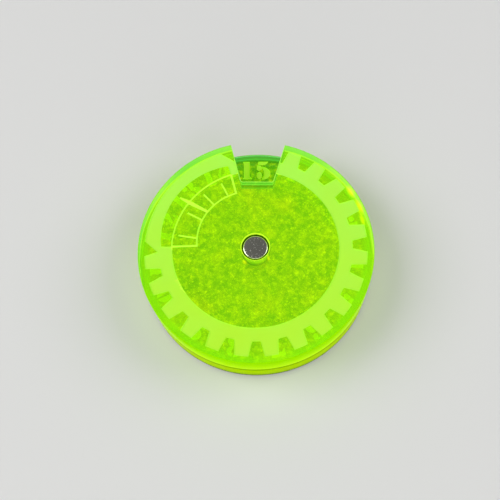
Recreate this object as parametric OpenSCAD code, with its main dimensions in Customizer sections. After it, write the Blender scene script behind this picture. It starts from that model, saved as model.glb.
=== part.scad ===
// Dial counter: two clear discs held together by a magnet in the middle of each.
// The upper disc has a window notch in its rim and turns over the numbers on the lower one.
// The origin is on the dial's axis, on the face that it lies on. +Z is up and the window is at +Y.
// The engraving is laid out from the rim inwards, so that it follows the discs' diameter.

/* [Discs] */
// Diameter of both discs
disc_d = 28; // [25:0.1:40]
// Thickness of the sheet that both discs are cut from
sheet_t = 3.2; // [2:0.1:6]
// Running gap between the two discs
disc_gap = 0.1; // [0.05:0.01:0.2]

/* [Magnets] */
// Diameter of each magnet
magnet_d = 3; // [2:0.1:6]
// How far each magnet stands back from the dial's outer face
magnet_back = 0.2; // [0.05:0.01:0.5]
// Glue gap round a magnet in its hole
glue_gap = 0.15; // [0.05:0.01:0.25]
// Chamfer round both ends of a magnet
magnet_chamfer = 0.15; // [0.05:0.01:0.3]

/* [Window notch] */
// Depth of the notch, from the rim to its inner wall
notch_depth = 5.45; // [4:0.05:7]
// Width of the notch at its inner wall
notch_inner_w = 3.9; // [3:0.1:5]
// Lean of each side wall away from the notch's middle, in degrees
notch_lean = 15.5; // [10:0.5:20]
// Radius in the notch's two inner corners
notch_corner_r = 0.2; // [0.05:0.01:0.4]

/* [Gear ring] */
// Depth of everything that is engraved in the top face
engraving_depth = 0.1; // [0.05:0.01:0.3]
// Plain margin between the rim and the teeth's tips
rim_margin = 0.8; // [0.4:0.05:1.2]
// Length of a tooth
tooth_l = 1.75; // [1.2:0.05:2]
// Width of the solid band that carries the teeth
band_w = 1.6; // [1.4:0.05:2]
// Number of places for a tooth round the whole ring
tooth_places = 24; // [20:1:28]
// Width of a gap between two teeth, at its bottom
gap_root_w = 0.95; // [0.5:0.05:1.2]
// Width of a gap between two teeth, at their tips
gap_tip_w = 1.85; // [1.3:0.01:2]
// Turn of the ring from the window's middle line, in degrees
ring_turn = 1.9; // [0:0.1:3]

/* [Gauge housing] */
// Turn of the housing's middle line from the window's, in degrees
housing_turn = 54.2; // [53:0.1:56]
// Half the housing's spread at the teeth's tips, in degrees
housing_tip_half = 33.5; // [32:0.1:35]
// Half the housing's spread at the foot of its slanted ends, in degrees
housing_foot_half = 39.7; // [38.5:0.1:40.5]
// Spread of the clear wedge at each slanted end, at the teeth's tips, in degrees
housing_wedge = 8.2; // [7:0.1:9]
// Height of the foot of the slanted ends over the bottom of the teeth
housing_foot_h = 0.2; // [0:0.05:0.4]

/* [Gauge scale] */
// Turn of the scale's middle line from the housing's, in degrees
scale_turn = 0.5; // [0:0.1:1.5]
// Half the scale's spread at its outer line, in degrees
scale_half = 35.9; // [35:0.1:37]
// Half the scale's spread at its inner line, in degrees
scale_foot_half = 34.8; // [34:0.1:36]
// Distance between the scale's inner and outer curved lines, at the middle
scale_h = 2.6; // [2:0.05:3]
// Distance of the inner line's own centre from the dial's axis
line_shift = 1; // [0:0.05:1.5]
// Turn of that centre's direction from the scale's middle line, in degrees
line_shift_turn = -19.5; // [-30:0.5:30]
// Width of the scale's curved lines
arc_line_w = 0.18; // [0.12:0.01:0.3]
// Width of the straight lines at the scale's two ends
end_line_w = 0.24; // [0.12:0.01:0.3]
// Rise of the clear arch over the scale's outer line, at the middle
arch_rise = 1.7; // [1.2:0.05:2]
// Distance of the arch's centre from the dial's axis
arch_shift = 2.3; // [1.5:0.05:2.6]
// Width of a tick
tick_w = 0.2; // [0.12:0.01:0.3]
// Distance between the ticks' outer ends and the scale's outer line
tick_gap = 0.55; // [0.2:0.05:1]
// Angle of each tick from the scale's middle line, in degrees
tick_angles = [-26.8, -11, 8, 27];
// Length of the needle beyond the scale's outer line
needle_out_l = 1.4; // [1:0.05:1.6]
// Turn of the needle's middle from the scale's middle line, in degrees
needle_turn = 0.5; // [-5:0.5:5]
// Lean of the needle from the radius that it stands on, in degrees
needle_lean = 7; // [0:0.5:10]
// Width of the needle at its foot
needle_foot_w = 0.32; // [0.2:0.01:0.5]
// Width of the needle at the scale's outer line
needle_mid_w = 0.5; // [0.3:0.01:0.7]
// Width of the needle at its tip
needle_tip_w = 0.18; // [0.1:0.01:0.3]

/* [Hidden] */
$fn = 128;
clear_green = [0.55, 0.85, 0.1, 0.8];
nickel = [0.7, 0.7, 0.68];

// How far a cutting shape runs past the face that it leaves by
past = 1;
disc_r = disc_d / 2;
magnet_r = magnet_d / 2;
hole_r = magnet_r + glue_gap;
magnet_h = sheet_t - magnet_back;
upper_z = sheet_t + disc_gap;

// Radii of the engraving
tip_r = disc_r - rim_margin;
root_r = tip_r - tooth_l;
inner_r = root_r - band_w;
scale_r = inner_r - scale_h;
arch_r = inner_r + arc_line_w + arch_rise - arch_shift;

// Directions in which the engraving's parts stand, where the window is at 90 degrees
first_gap_a = 90 + ring_turn;
housing_a = 90 + housing_turn;
scale_a = housing_a + scale_turn;
line_a = scale_a + line_shift_turn;

// The notch's inner corners: the arc in each meets its two walls this far from where they cross
corner_run = notch_corner_r / tan((90 + notch_lean) / 2);
corner_x = notch_inner_w / 2 - corner_run;
notch_inner_y = disc_r - notch_depth;

function polar(r, a) = [r * cos(a), r * sin(a)];
// Radius of the scale's inner line about its own centre, so that it lies at scale_r on the middle line
line_r = norm(polar(scale_r, scale_a) - polar(line_shift, line_a));
// How far from the dial's axis that line lies, in the direction a
function line_at(a) =
    line_shift * cos(a - line_a) + sqrt(pow(line_r, 2) - pow(line_shift * sin(a - line_a), 2));
// The point that lies k times as far from p as q does, in the same direction
function beyond(p, q, k) = p + k * (q - p);
// The smallest turn between two directions
function turn_between(a, b) = abs((a - b + 540) % 360 - 180);

// One blank disc with its magnet's hole, standing on z = 0
module blank_disc() {
    difference() {
        cylinder(r = disc_r, h = sheet_t);
        translate([0, 0, -past])
            cylinder(r = hole_r, h = sheet_t + 2 * past);
    }
}

// One magnet, standing on z = 0
module magnet() {
    rotate_extrude()
        polygon([
            [0, 0], [magnet_r - magnet_chamfer, 0], [magnet_r, magnet_chamfer],
            [magnet_r, magnet_h - magnet_chamfer], [magnet_r - magnet_chamfer, magnet_h], [0, magnet_h]
        ]);
}

// A wedge from the dial's axis past the rim, within the angle h on each side of the direction a
module wedge(a, h) {
    reach = disc_d;
    polygon([[0, 0], polar(reach, a - h), polar(reach, a), polar(reach, a + h)]);
}

// A straight bar of width w from the point p to the point q
module bar(p, q, w) {
    run = q - p;
    translate(p)
        rotate(atan2(run[1], run[0]))
            translate([0, -w / 2])
                square([norm(run), w]);
}

// The plan of the window notch: its two inner corners are cut short and filled out by a circle each
module notch_plan() {
    side_dir = [sin(notch_lean), cos(notch_lean)];
    wall_foot = [notch_inner_w / 2, notch_inner_y] + corner_run * side_dir;
    wall_end = wall_foot + (notch_depth + past) * side_dir;
    polygon([
        [-corner_x, notch_inner_y], [corner_x, notch_inner_y], wall_foot, wall_end,
        [-wall_end[0], wall_end[1]], [-wall_foot[0], wall_foot[1]]
    ]);
    for (side = [-1, 1])
        translate([side * corner_x, notch_inner_y + notch_corner_r])
            circle(notch_corner_r);
}

// The clear gap between two teeth, run out past their tips
module tooth_gap(a) {
    root = [root_r, gap_root_w / 2];
    end = beyond(root, [tip_r, gap_tip_w / 2], 1.3);
    rotate(a)
        polygon([root, end, [end[0], -end[1]], [root[0], -root[1]]]);
}

// The clear wedge between one slanted end of the housing and what stands beside it
module housing_end(side) {
    foot = polar(root_r + housing_foot_h, housing_a + side * housing_foot_half);
    near = polar(tip_r, housing_a + side * housing_tip_half);
    far = polar(tip_r, housing_a + side * (housing_tip_half + housing_wedge));
    polygon([foot, beyond(foot, near, 1.3), beyond(foot, far, 1.3)]);
}

// The clear arch that is left open in the housing, over the scale's outer line
module arch() {
    intersection() {
        translate(polar(arch_shift, scale_a))
            circle(arch_r);
        difference() {
            wedge(scale_a, scale_half);
            circle(inner_r + arc_line_w);
        }
    }
}

// The ring, with its teeth everywhere but at the housing
module ring_plan() {
    difference() {
        circle(tip_r);
        circle(inner_r);
        for (i = [0 : tooth_places - 1]) {
            a = first_gap_a + i * 360 / tooth_places;
            if (turn_between(a, housing_a) > housing_foot_half + housing_wedge / 4)
                tooth_gap(a);
        }
        for (side = [-1, 1])
            housing_end(side);
        arch();
    }
}

// The scale inside the ring: its inner line, its two end lines and its ticks
module scale_plan() {
    intersection() {
        translate(polar(line_shift, line_a))
            difference() {
                circle(line_r + arc_line_w);
                circle(line_r);
            }
        wedge(scale_a, scale_foot_half);
    }
    for (side = [-1, 1]) {
        foot_a = scale_a + side * scale_foot_half;
        bar(polar(line_at(foot_a), foot_a),
            polar(inner_r + arc_line_w, scale_a + side * scale_half), end_line_w);
    }
    for (turn = tick_angles) {
        tick_a = scale_a + turn;
        bar(polar(line_at(tick_a) + arc_line_w / 2, tick_a),
            polar(inner_r - tick_gap, tick_a), tick_w);
    }
}

// The needle stands on the scale's inner line, is widest at the outer one and comes to a narrow tip
module needle_plan() {
    foot_x = -(scale_h - arc_line_w / 2) / cos(needle_lean);
    translate(polar(inner_r, scale_a + needle_turn))
        rotate(scale_a + needle_turn + needle_lean)
            polygon([
                [foot_x, -needle_foot_w / 2], [0, -needle_mid_w / 2], [needle_out_l, -needle_tip_w / 2],
                [needle_out_l, needle_tip_w / 2], [0, needle_mid_w / 2], [foot_x, needle_foot_w / 2]
            ]);
}

module number_disc() {
    color(clear_green)
        blank_disc();
}

module window_disc() {
    color(clear_green)
        translate([0, 0, upper_z])
            difference() {
                blank_disc();
                translate([0, 0, -past])
                    linear_extrude(sheet_t + 2 * past)
                        notch_plan();
                translate([0, 0, sheet_t - engraving_depth])
                    linear_extrude(engraving_depth + past) {
                        ring_plan();
                        scale_plan();
                        needle_plan();
                    }
            }
}

// Both magnets are flush with the faces that meet
module lower_magnet() {
    color(nickel)
        translate([0, 0, magnet_back])
            magnet();
}

module upper_magnet() {
    color(nickel)
        translate([0, 0, upper_z])
            magnet();
}

number_disc();
window_disc();
lower_magnet();
upper_magnet();
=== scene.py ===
"""Dial counter: two fluorescent clear discs that turn on each other, held together by a magnet in each.

Lengths are in millimetres until a mesh is made, and angles in degrees until they are used. The frame is the
CAD's: the origin on the dial's axis on the face that it lies on, +Z up and the window at +Y.
"""

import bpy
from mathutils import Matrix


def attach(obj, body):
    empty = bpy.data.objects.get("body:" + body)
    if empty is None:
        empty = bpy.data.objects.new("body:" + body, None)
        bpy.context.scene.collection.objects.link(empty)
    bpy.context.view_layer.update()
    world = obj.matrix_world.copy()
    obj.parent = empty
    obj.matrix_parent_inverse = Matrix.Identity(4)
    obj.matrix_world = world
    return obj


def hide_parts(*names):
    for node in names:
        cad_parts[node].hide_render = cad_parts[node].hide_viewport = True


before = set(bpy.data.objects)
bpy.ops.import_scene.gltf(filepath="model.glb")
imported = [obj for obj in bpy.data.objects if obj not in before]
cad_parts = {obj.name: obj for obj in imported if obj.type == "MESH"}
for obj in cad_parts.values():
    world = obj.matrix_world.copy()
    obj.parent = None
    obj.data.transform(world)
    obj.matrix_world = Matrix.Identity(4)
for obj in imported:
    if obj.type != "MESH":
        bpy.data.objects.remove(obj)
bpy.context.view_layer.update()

import logging
from abc import ABC, abstractmethod
from dataclasses import dataclass, field
from enum import IntEnum
from typing import Sequence, Union

import bmesh
import bpy
import numpy as np
from mathutils import Matrix, Vector
from mathutils.geometry import delaunay_2d_cdt

LOG = logging.getLogger("dial_counter")
METRES_PER_MM = 0.001
RGB = tuple[float, float, float]
FaceFinish = Union[int, np.ndarray]

# The dial's heights, which several pieces share
SHEET_T = 3.2
RUNNING_GAP = 0.1
UPPER_Z = SHEET_T + RUNNING_GAP
TOP_Z = UPPER_Z + SHEET_T
MAGNET_H = 3.0

# How finely arcs are drawn, how close points are joined, and where an edge stays sharp
ARC_STEP = 1.0
PLANE_WELD_MM = 1e-5
MESH_WELD_M = 3e-8
SHARP_ANGLE = 35.0

# How strongly clear sheet bends light, and a Mix node's own numbers for its two colours and its result
SHEET_IOR = 1.49
MIX_FIRST, MIX_SECOND, MIX_RESULT = 6, 7, 2


# Plane geometry

def polar(radius: Union[float, np.ndarray], angle: Union[float, np.ndarray]) -> np.ndarray:
    """The point at a radius and a direction: x is the radius times the cosine, y times the sine.

    Args:
        radius: one radius or an array of them.
        angle: one direction or an array of them, in degrees.

    Returns:
        Points as an array whose last axis is x, y.
    """
    turn = np.radians(angle)
    return np.stack([radius * np.cos(turn), radius * np.sin(turn)], axis=-1)


def circle(radius: float, count: int, centre: Sequence[float] = (0.0, 0.0)) -> np.ndarray:
    """A closed circle of count points: the centre plus a radius that turns left in even steps."""
    return np.asarray(centre) + polar(radius, np.linspace(0.0, 360.0, count, endpoint=False))


def sector(inner: float, outer: float, start: float, end: float) -> np.ndarray:
    """A closed curved band: the outer arc from start to end, then the inner arc back.

    Args:
        inner: radius of the inner arc.
        outer: radius of the outer arc.
        start: direction where it starts, in degrees.
        end: direction where it ends, in degrees.

    Returns:
        The outline's points, counter-clockwise.
    """
    angles = np.linspace(start, end, int(np.ceil((end - start) / ARC_STEP)) + 1)
    return np.concatenate([polar(outer, angles), polar(inner, angles[::-1])])


def turned(points: np.ndarray, angle: float) -> np.ndarray:
    """Points turned counter-clockwise about the origin: each coordinate pair times the turn's matrix."""
    c, s = np.cos(np.radians(angle)), np.sin(np.radians(angle))
    return points @ np.array([[c, s], [-s, c]])


def bar(start: np.ndarray, end: np.ndarray, width: float) -> np.ndarray:
    """A straight bar: half its width to the right and to the left of the line between two points.

    Args:
        start: point where it starts.
        end: point where it ends.
        width: its width.

    Returns:
        Its four corners, counter-clockwise.
    """
    run = (end - start) / np.linalg.norm(end - start)
    left = np.array([-run[1], run[0]]) * width / 2
    return np.array([start - left, end - left, end + left, start + left])


def inside(outline: np.ndarray, points: np.ndarray) -> np.ndarray:
    """Whether points lie in an outline: a ray to +X crosses it an odd number of times.

    Args:
        outline: the closed outline's points.
        points: the points to test.

    Returns:
        One truth value for each point.
    """
    a, b = outline, np.roll(outline, -1, axis=0)
    x, y = points[:, :1], points[:, 1:]
    spans = (a[:, 1] > y) != (b[:, 1] > y)
    rise = np.where(b[:, 1] == a[:, 1], 1.0, b[:, 1] - a[:, 1])
    crossing_x = a[:, 0] + (y - a[:, 1]) * (b[:, 0] - a[:, 0]) / rise
    return (np.sum(spans & (x < crossing_x), axis=1) % 2).astype(bool)


def inset_directions(outline: np.ndarray) -> np.ndarray:
    """How each point of an outline moves for an inset of one.

    The left-hand normals of the two sides that meet in a point, added and divided by one plus their dot
    product, keep both sides parallel to where they were.

    Args:
        outline: a closed outline with the material on its left.

    Returns:
        One vector for each point.
    """
    side = np.roll(outline, -1, axis=0) - outline
    side /= np.linalg.norm(side, axis=1, keepdims=True)
    after = np.stack([-side[:, 1], side[:, 0]], axis=1)
    before = np.roll(after, 1, axis=0)
    return (before + after) / (1.0 + np.sum(before * after, axis=1, keepdims=True))


def triangles_through(outlines: Sequence[np.ndarray]) -> tuple[np.ndarray, np.ndarray]:
    """Delaunay triangles over the plane that keep every side of the outlines, which may cross.

    Args:
        outlines: closed outlines.

    Returns:
        The points, and the triangles as rows of three point numbers, counter-clockwise.
    """
    points = np.concatenate(outlines)
    lengths = np.array([len(outline) for outline in outlines])
    first = np.repeat(np.cumsum(lengths) - lengths, lengths)
    within = np.arange(len(points)) - first
    sides = np.stack([first + within, first + (within + 1) % np.repeat(lengths, lengths)], axis=1)
    made = delaunay_2d_cdt([Vector(p) for p in points], sides.tolist(), [], 0, PLANE_WELD_MM, False)
    corners = np.array([list(p) for p in made[0]])
    return corners, np.array([face for face in made[2] if len(face) == 3])


def wall_profile(height: float, edge_r: float, arc_points: int, wall_rows: int) -> np.ndarray:
    """Inset and height over a wall: a quarter circle, an upright stretch and a quarter circle.

    On the lower one the inset is the radius times one minus the sine of the turn, and the height the radius
    times one minus the cosine.

    Args:
        height: the wall's height.
        edge_r: radius of its rounded edges.
        arc_points: number of points on each of them.
        wall_rows: number of points between them.

    Returns:
        Rows of inset and height, from the foot up.
    """
    turn = np.radians(np.linspace(0.0, 90.0, arc_points))
    low = np.stack([1 - np.sin(turn), 1 - np.cos(turn)], axis=1) * edge_r
    high = low[::-1] * np.array([1.0, -1.0]) + np.array([0.0, height])
    return np.concatenate([low, np.linspace(low[-1], high[0], wall_rows + 2)[1:-1], high])


def with_heights(plan: np.ndarray, profile: np.ndarray) -> np.ndarray:
    """Points of a plan, outline by profile by two, each given the height of its row of the profile."""
    return np.concatenate([plan, np.broadcast_to(profile[None, :, 1:], (*plan.shape[:2], 1))], axis=2)


# Skins

class Face(IntEnum):
    """The finishes on a sheet's skin, in the order of its material slots."""

    CLEAR = 0
    CUT = 1
    BORE = 2
    NOTCH = 3
    FROSTED = 4
    LINE = 5


@dataclass
class Skin:
    """A closed surface that is put together from patches."""

    name: str
    points: list[np.ndarray] = field(default_factory=list)
    faces: list[list[int]] = field(default_factory=list)
    finish: list[int] = field(default_factory=list)
    smooth: list[bool] = field(default_factory=list)
    count: int = 0

    def add(self, points: np.ndarray, faces: np.ndarray, finish: FaceFinish, smooth: bool) -> None:
        """Adds one patch.

        Args:
            points: its points, x, y, z in millimetres.
            faces: its faces as rows of point numbers, counter-clockwise seen from outside.
            finish: the finish of all of its faces, or one for each.
            smooth: whether its faces shade as one curved surface.
        """
        self.points.append(points)
        self.faces += (faces + self.count).tolist()
        self.finish += np.broadcast_to(finish, len(faces)).tolist()
        self.smooth += [smooth] * len(faces)
        self.count += len(points)

    def add_grid(self, grid: np.ndarray, finish: FaceFinish) -> None:
        """Adds a grid of points, a closed outline by a profile, that faces out to the outline's right.

        Args:
            grid: points, shaped outline points by profile points by three.
            finish: one finish, or one for each face, in the order of the outline and then of the profile.
        """
        rows, columns = grid.shape[:2]
        i, j = np.meshgrid(np.arange(rows), np.arange(columns - 1), indexing="ij")
        k = (i + 1) % rows
        near, far = i * columns + j, k * columns + j
        quads = np.stack([near, far, far + 1, near + 1], axis=-1)
        self.add(grid.reshape(-1, 3), quads.reshape(-1, 4), finish, True)

    def add_flat(
        self, points: np.ndarray, triangles: np.ndarray, z: float, finish: FaceFinish, up: bool
    ) -> None:
        """Adds flat triangles of points in the plane, at one height, that face up or down."""
        level = np.column_stack([points, np.full(len(points), z)])
        self.add(level, triangles if up else triangles[:, ::-1], finish, False)

    def build(self, materials: Sequence[bpy.types.Material]) -> bpy.types.Object:
        """Makes the object, at the origin, with its patches joined.

        Args:
            materials: the material of each finish.

        Returns:
            The new object.
        """
        mesh = bpy.data.meshes.new(self.name)
        mesh.from_pydata((np.concatenate(self.points) * METRES_PER_MM).tolist(), [], self.faces)
        mesh.polygons.foreach_set("material_index", self.finish)
        mesh.polygons.foreach_set("use_smooth", self.smooth)
        work = bmesh.new()
        work.from_mesh(mesh)
        bmesh.ops.remove_doubles(work, verts=work.verts, dist=MESH_WELD_M)
        open_edges = sum(not edge.is_manifold for edge in work.edges)
        volume = work.calc_volume(signed=True) / METRES_PER_MM ** 3
        work.to_mesh(mesh)
        work.free()
        mesh.set_sharp_from_angle(angle=np.radians(SHARP_ANGLE))
        for material in materials:
            mesh.materials.append(material)
        made = bpy.data.objects.new(self.name, mesh)
        bpy.context.scene.collection.objects.link(made)
        facts = (self.name, len(mesh.polygons), open_edges, volume)
        LOG.info("%s: %d faces, %d open edges, %.1f cubic mm", *facts)
        return made


# Shading

class Signal:
    """A socket in a material, on which arithmetic adds Math nodes."""

    def __init__(self, graph: "Graph", socket: bpy.types.NodeSocket) -> None:
        """Wraps a socket of a graph."""
        self.graph = graph
        self.socket = socket

    def maths(self, operation: str, first: "Input", second: "Input") -> "Signal":
        """The result of one Math node on two values."""
        return self.graph.node("ShaderNodeMath", {"operation": operation}, {0: first, 1: second})

    def __add__(self, other: "Input") -> "Signal":
        """This plus other."""
        return self.maths("ADD", self, other)

    def __sub__(self, other: "Input") -> "Signal":
        """This less other."""
        return self.maths("SUBTRACT", self, other)

    def __rsub__(self, other: "Input") -> "Signal":
        """Other less this."""
        return self.maths("SUBTRACT", other, self)

    def __mul__(self, other: "Input") -> "Signal":
        """This times other."""
        return self.maths("MULTIPLY", self, other)

    __radd__ = __add__
    __rmul__ = __mul__


Input = Union[Signal, float, Sequence[float]]


@dataclass(frozen=True)
class Pattern:
    """Soft noise over a surface, in which what lies between two levels runs from 0 to 1.

    per_mm is its lumps for each millimetre, and detail its finer layers. It is turned about Z and then
    squeezed by a factor along each axis.
    """

    per_mm: float
    low: float
    high: float
    detail: float = 2.0
    squeeze: tuple[float, float, float] = (1.0, 1.0, 1.0)
    turn: float = 0.0


class Graph:
    """Builds the nodes of one material or world."""

    def __init__(self, tree: bpy.types.NodeTree) -> None:
        """Starts with an empty tree."""
        self.tree = tree
        tree.nodes.clear()

    def node(self, kind: str, settings: dict, sockets: dict, output: Union[int, str] = 0) -> Signal:
        """Adds any node.

        Args:
            kind: the node's type.
            settings: its own settings, set before its sockets. stops holds a ramp's places and colours.
            sockets: the value or link of each socket, by name or number.
            output: which of its outputs is wanted.

        Returns:
            That output.
        """
        made = self.tree.nodes.new(kind)
        for key, value in settings.items():
            if key == "stops":
                self.set_stops(made.color_ramp, value)
            else:
                setattr(made, key, value)
        for key, value in sockets.items():
            if isinstance(value, Signal):
                self.tree.links.new(value.socket, made.inputs[key])
            else:
                made.inputs[key].default_value = value
        return Signal(self, made.outputs[output]) if len(made.outputs) else Signal(self, made.inputs[0])

    @staticmethod
    def set_stops(ramp: bpy.types.ColorRamp, stops: Sequence[tuple[float, RGB]]) -> None:
        """Gives a ramp its places and colours, two of which it has already."""
        while len(ramp.elements) < len(stops):
            ramp.elements.new(1.0)
        for element, (place, colour) in zip(ramp.elements, stops):
            element.position = place
            element.color = (*colour, 1.0)

    def blend(self, share: Input, first: Input, second: Input) -> Signal:
        """Two colours mixed, with a share of the second from 0 to 1."""
        values = [v if isinstance(v, Signal) else (*v, 1.0) for v in (first, second)]
        sockets = {0: share, MIX_FIRST: values[0], MIX_SECOND: values[1]}
        return self.node("ShaderNodeMix", {"data_type": "RGBA"}, sockets, MIX_RESULT)

    def add_colour(self, colour: Signal, share: Signal, extra: RGB) -> Signal:
        """A colour with a share of a second one added."""
        part = self.node("ShaderNodeVectorMath", {"operation": "SCALE"}, {0: extra, "Scale": share})
        return self.node("ShaderNodeVectorMath", {"operation": "ADD"}, {0: colour, 1: part})

    def place(self, squeeze: Sequence[float] = (1.0, 1.0, 1.0), turn: float = 0.0) -> Signal:
        """Object coordinates in millimetres, times a factor along each axis and then turned about Z."""
        return self.node("ShaderNodeMapping", {}, {
            "Vector": self.node("ShaderNodeTexCoord", {}, {}, "Object"),
            "Rotation": (0.0, 0.0, np.radians(turn)),
            "Scale": [factor / METRES_PER_MM for factor in squeeze],
        })

    def axis(self, name: str) -> Signal:
        """Object coordinates along X, Y or Z, in millimetres."""
        return self.node("ShaderNodeSeparateXYZ", {}, {0: self.place()}, name)

    def length(self, vector: Signal) -> Signal:
        """A vector's length."""
        return self.node("ShaderNodeVectorMath", {"operation": "LENGTH"}, {0: vector}, "Value")

    def radius(self) -> Signal:
        """Distance from the dial's axis, in millimetres."""
        return self.length(self.place((1.0, 1.0, 0.0)))

    def ray(self, kind: str) -> Signal:
        """Whether what arrives is a ray of a kind, such as Camera, Glossy or Transmission."""
        return self.node("ShaderNodeLightPath", {}, {}, f"Is {kind} Ray")

    def clamp(self, value: Signal) -> Signal:
        """A value held between 0 and 1."""
        return self.node("ShaderNodeClamp", {}, {0: value})

    def span(self, value: Signal, low: float, high: float) -> Signal:
        """A value with low to high mapped onto 0 to 1, and held there beyond them."""
        return self.node("ShaderNodeMapRange", {"clamp": True}, {0: value, 1: low, 2: high})

    def noise(self, pattern: Pattern) -> Signal:
        """A pattern's share at each place, from 0 to 1."""
        here = self.place(pattern.squeeze, pattern.turn)
        sockets = {"Vector": here, "Scale": pattern.per_mm, "Detail": pattern.detail}
        return self.span(self.node("ShaderNodeTexNoise", {}, sockets), pattern.low, pattern.high)

    def bump(self, height: Signal, distance: float, strength: float) -> Signal:
        """A normal that follows a height from 0 to 1, in which 1 stands for a distance in millimetres."""
        sockets = {"Height": height, "Distance": distance * METRES_PER_MM, "Strength": strength}
        return self.node("ShaderNodeBump", {}, sockets)


@dataclass(frozen=True)
class Finish(ABC):
    """A surface as it looks, made into a material by its own nodes."""

    name: str

    @abstractmethod
    def shader(self, graph: Graph) -> Signal:
        """Adds the finish's nodes and gives their shader."""

    def material(self) -> bpy.types.Material:
        """Makes the material, or gives the one already made."""
        known = bpy.data.materials.get(self.name)
        if known is not None:
            return known
        made = bpy.data.materials.new(self.name)
        made.use_nodes = True
        graph = Graph(made.node_tree)
        graph.node("ShaderNodeOutputMaterial", {}, {"Surface": self.shader(graph)})
        return made


@dataclass(frozen=True)
class Glint:
    """A painted highlight where light from the cut edges gathers, brightest in its middle and gone at its
    ends.

    Its middle lies at a radius, a direction and a height, and its length lies in the direction lean.
    """

    radius: float
    direction: float
    lean: float
    half_l: float
    half_w: float
    height: float = TOP_Z
    core: float = 0.3

    def mask(self, graph: Graph) -> Signal:
        """One in the spot's core, falling to nothing on the ellipse of its half length and half width."""
        own_place = graph.node("ShaderNodeMapping", {"vector_type": "TEXTURE"}, {
            "Vector": graph.place(),
            "Location": (*polar(self.radius, self.direction), self.height),
            "Rotation": (0.0, 0.0, np.radians(self.lean)),
            "Scale": (self.half_l, self.half_w, self.half_w),
        })
        return graph.span(graph.length(own_place), 1.0, self.core)


@dataclass(frozen=True)
class ClearSheet(Finish):
    """The polished face of fluorescent sheet: clear, tinted and glowing, with painted light and shade in it.

    Its light mottles and specks are painted light and shade: bright and dark patches of light seen through
    the sheet. Over still_r they run out into one light, and over wall_r a painted glow of the rim's wall
    comes in.
    Glints are painted highlights where light from the cut edges gathers.
    """

    tint: RGB
    glow: RGB
    cloud_tint: RGB
    cloud_glow: RGB
    clearness: float
    clouds: Pattern = Pattern(1.0, 0.40, 0.70)
    cloud_share: float = 0.55
    specks: Pattern = Pattern(5.0, 0.60, 0.73, detail=1.0)
    warm_places: Pattern = Pattern(0.22, 0.58, 0.74)
    warmth: RGB = (0.0, 0.0, 0.0)
    still_r: tuple[float, float] = (12.7, 13.2)
    still_light: float = 0.1
    wall_r: tuple[float, float] = (12.7, 13.2)
    wall_glow: RGB = (0.0, 0.0, 0.0)
    glints: tuple[Glint, ...] = ()
    glint_glow: RGB = (0.0, 0.0, 0.0)
    scuffs: Pattern = Pattern(1.3, 0.62, 0.80, squeeze=(0.25, 3.0, 1.0), turn=35.0)
    polish: float = 0.03
    scuffing: float = 0.05

    def shader(self, graph: Graph) -> Signal:
        """Painted light mottles and specks, warm places and painted glints change tint and glow, and scuffs
        the gloss.

        Args:
            graph: the material's nodes.

        Returns:
            The shader.
        """
        # Painted light and shade: mottles of light through the sheet, evened out near the rim, where wall
        # adds a painted glow of the rim's wall.
        still, wall = (graph.span(graph.radius(), *zone) for zone in (self.still_r, self.wall_r))
        mottle = graph.clamp(graph.noise(self.clouds) * self.cloud_share + graph.noise(self.specks))
        light = mottle * (1.0 - still) + still * self.still_light
        glow = graph.blend(light, self.glow, self.cloud_glow)
        glow = graph.add_colour(glow, graph.noise(self.warm_places), self.warmth)
        # Painted highlights: each glint adds glow at its place on the face.
        for glint in self.glints:
            glow = graph.add_colour(glow, glint.mask(graph), self.glint_glow)
        return graph.node("ShaderNodeBsdfPrincipled", {}, {
            "Base Color": graph.blend(light, self.tint, self.cloud_tint),
            "Emission Color": graph.add_colour(glow, wall, self.wall_glow),
            "Emission Strength": 1.0,
            "Transmission Weight": self.clearness,
            "IOR": SHEET_IOR,
            "Specular IOR Level": 0.3,
            "Roughness": self.polish + graph.noise(self.scuffs) * self.scuffing,
        })


@dataclass(frozen=True)
class EdgeLook:
    """How a cut edge looks from one side: its colours and glows at places from its foot, 0, to its top, 1."""

    colours: tuple[RGB, ...]
    glows: tuple[RGB, ...]
    clearness: float = 0.0
    strength: float = 1.0
    shine: float = 0.02
    places: tuple[float, ...] = (0.0, 0.5, 1.0)
    warmth: RGB = (0.0, 0.0, 0.0)

    def shader(self, graph: Graph, level: Signal, warm: Signal, roughness: Signal, normal: Signal) -> Signal:
        """Adds the look's shader.

        Args:
            graph: the material's nodes.
            level: height on the edge, from 0 to 1.
            warm: where the edge glows warmer, from 0 to 1.
            roughness: the edge's roughness.
            normal: the edge's normal.

        Returns:
            The shader.
        """
        colour, glow = (
            graph.node("ShaderNodeValToRGB", {"stops": list(zip(self.places, row))}, {0: level})
            for row in (self.colours, self.glows)
        )
        return graph.node("ShaderNodeBsdfPrincipled", {}, {
            "Base Color": colour,
            "Emission Color": graph.add_colour(glow, warm, self.warmth),
            "Emission Strength": self.strength,
            "Transmission Weight": self.clearness,
            "IOR": SHEET_IOR,
            "Specular IOR Level": self.shine,
            "Roughness": roughness,
            "Normal": normal,
        })


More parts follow.
